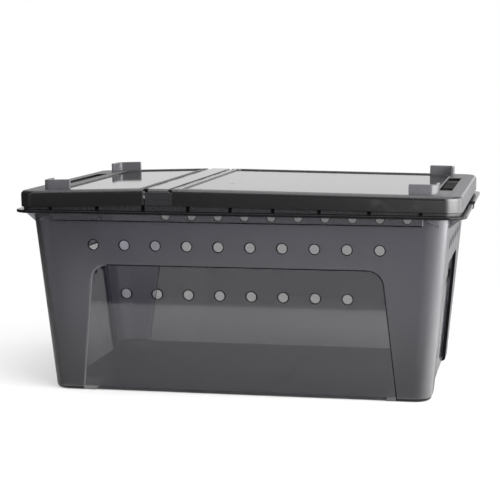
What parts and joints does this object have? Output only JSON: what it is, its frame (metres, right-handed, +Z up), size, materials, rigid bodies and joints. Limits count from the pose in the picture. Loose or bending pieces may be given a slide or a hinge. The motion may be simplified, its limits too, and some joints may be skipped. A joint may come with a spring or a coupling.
{
  "type": "portable reptile terrarium",
  "caption": "Smoke-grey vented box with hand-grip rim and a two-flap lid hinged on a cross bar, each flap held by a rocking end latch.",
  "frame": {"origin": "centre of the footprint, on the plane the feet stand on", "axes": "+X along the tub towards the long flap's free end, +Y to the back, +Z up"},
  "size_m": [0.32, 0.22, 0.1527],
  "materials": {
    "tub_plastic": "smoke-grey translucent, frosted, with glossy recessed windows",
    "lid_plastic": "smoke-grey translucent satin rails round glossy panels",
    "latch_plastic": "black, dull",
    "pin_steel": "drawn wire"
  },
  "bodies": {
    "tub": {"tub": "tub_plastic", "hinge_bar": "lid_plastic", "right_hinge_pin": "pin_steel", "left_hinge_pin": "pin_steel"},
    "right_flap": {"right_flap": "lid_plastic", "right_latch_pin": "pin_steel"},
    "left_flap": {"left_flap": "lid_plastic", "left_latch_pin": "pin_steel"},
    "right_latch": {"right_latch": "latch_plastic"},
    "left_latch": {"left_latch": "latch_plastic"}
  },
  "joints": [
    {"name": "right_flap_hinge", "type": "hinge", "parent": "tub", "child": "right_flap", "pos_m": [-0.0435, 0, 0.1452], "axis": [0, -1, 0], "range_deg": [0, 90]},
    {"name": "left_flap_hinge", "type": "hinge", "parent": "tub", "child": "left_flap", "pos_m": [-0.0636, 0, 0.1452], "axis": [0, 1, 0], "range_deg": [0, 90]},
    {"name": "right_latch_pivot", "type": "hinge", "parent": "right_flap", "child": "right_latch", "pos_m": [0.14246, 0, 0.14113], "axis": [0, -1, 0], "range_deg": [0, 6], "stiffness_Nm_per_rad": 0.2, "springref_deg": -2.86},
    {"name": "left_latch_pivot", "type": "hinge", "parent": "left_flap", "child": "left_latch", "pos_m": [-0.14241, 0, 0.14106], "axis": [0, 1, 0], "range_deg": [0, 6], "stiffness_Nm_per_rad": 0.2, "springref_deg": -2.86}
  ]
}
